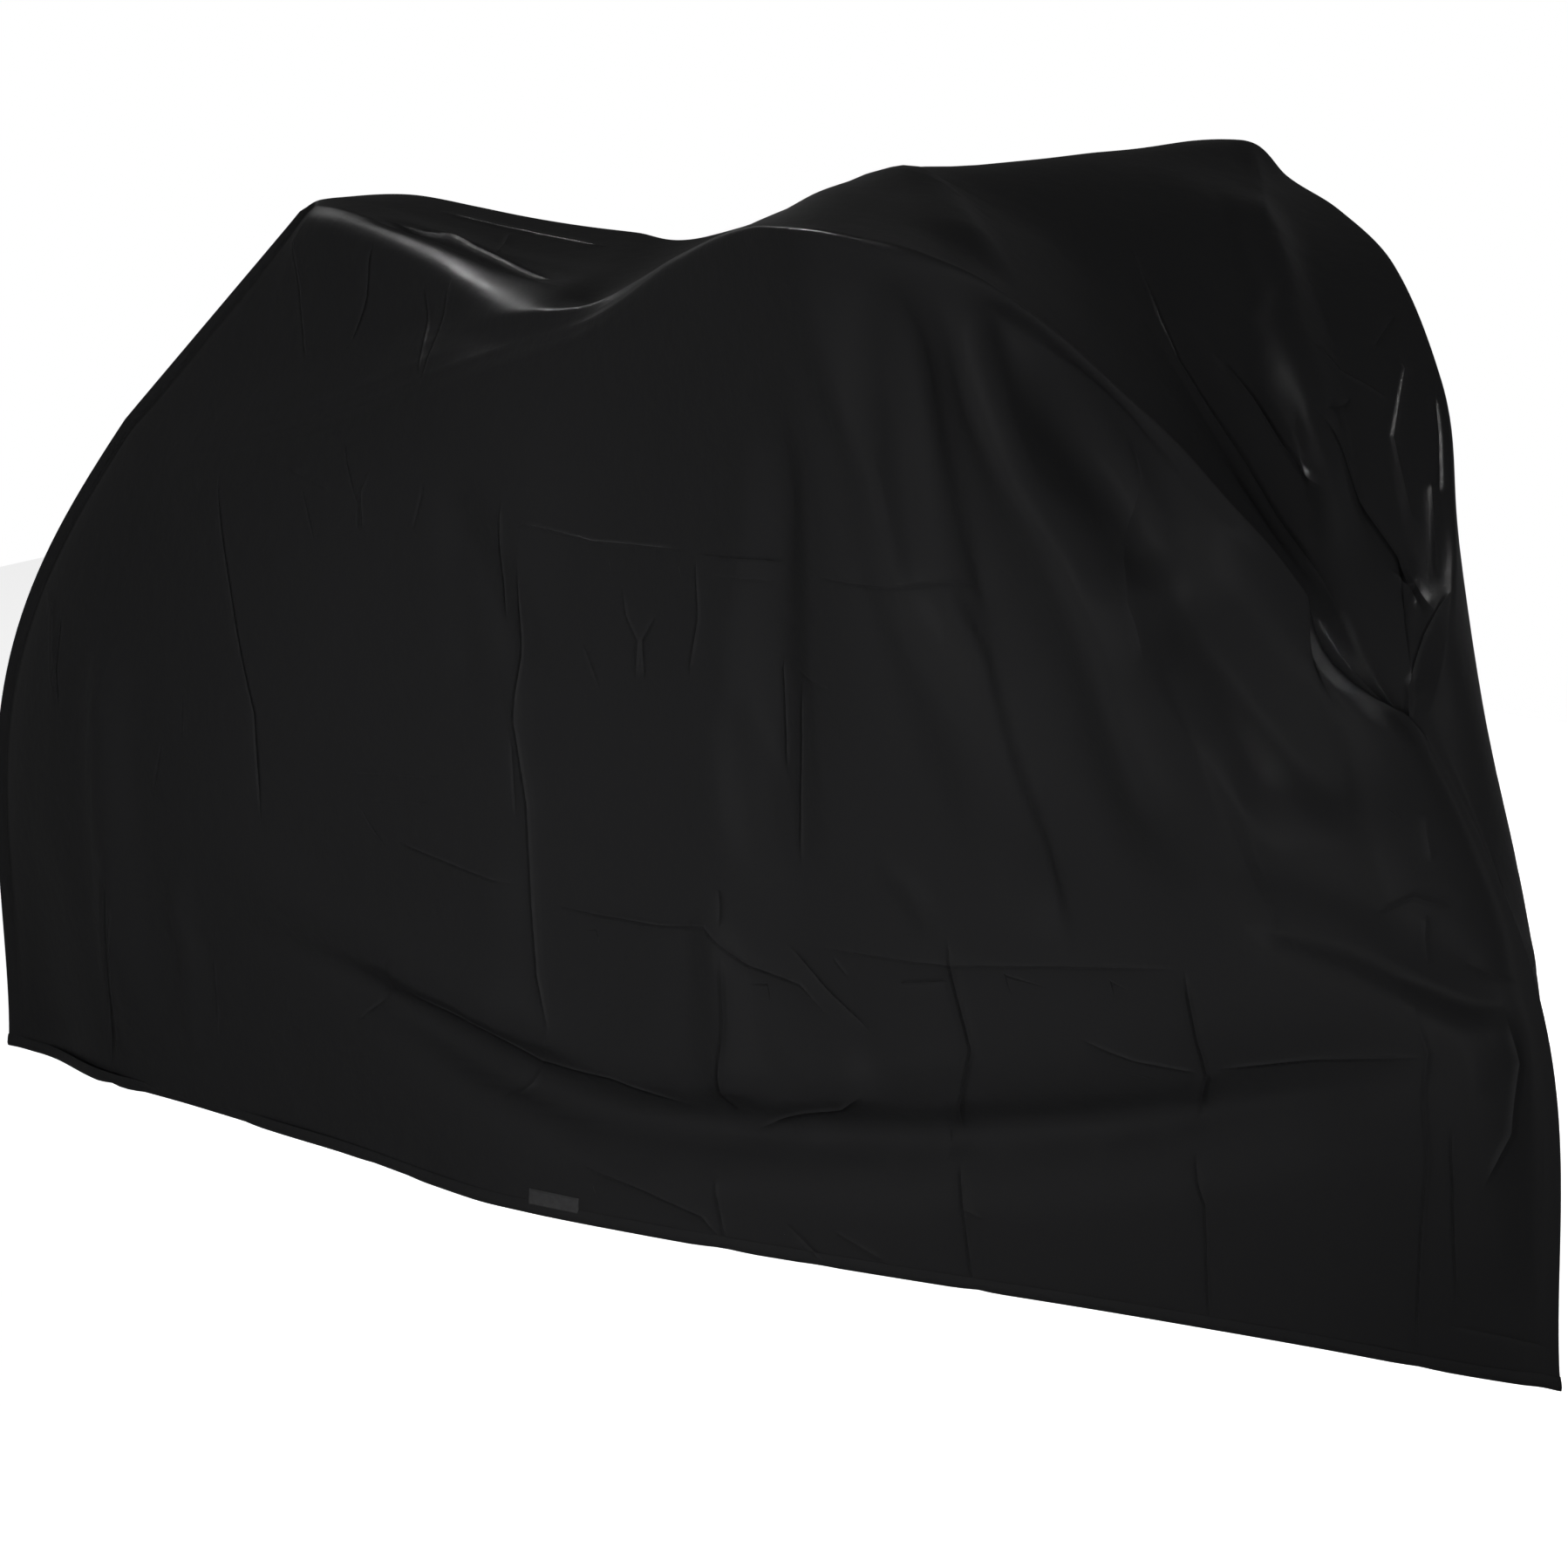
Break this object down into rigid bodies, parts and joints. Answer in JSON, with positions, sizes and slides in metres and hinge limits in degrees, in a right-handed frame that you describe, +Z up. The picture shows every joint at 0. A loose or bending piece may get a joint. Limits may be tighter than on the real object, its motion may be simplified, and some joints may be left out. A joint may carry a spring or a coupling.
{
  "type": "bicycle cover",
  "caption": "Draped sheet cover for a bicycle, sewn up along both end seams, open at the bottom, with a hem all round and a bare label.",
  "frame": {"origin": "the point on the inner face, under the top of the rear hump, where the cover rests on what it covers", "axes": "+X from the back seam to the front seam, along the length; +Z up; the label hangs on the -Y side"},
  "size_m": [1.9195, 0.7074, 1.0484],
  "materials": {
    "coated_cloth": "black coated polyester, satin",
    "label_cloth": "black woven tape, matt"
  },
  "bodies": {
    "root": {"cover": "coated_cloth", "label": "label_cloth"}
  },
  "joints": []
}
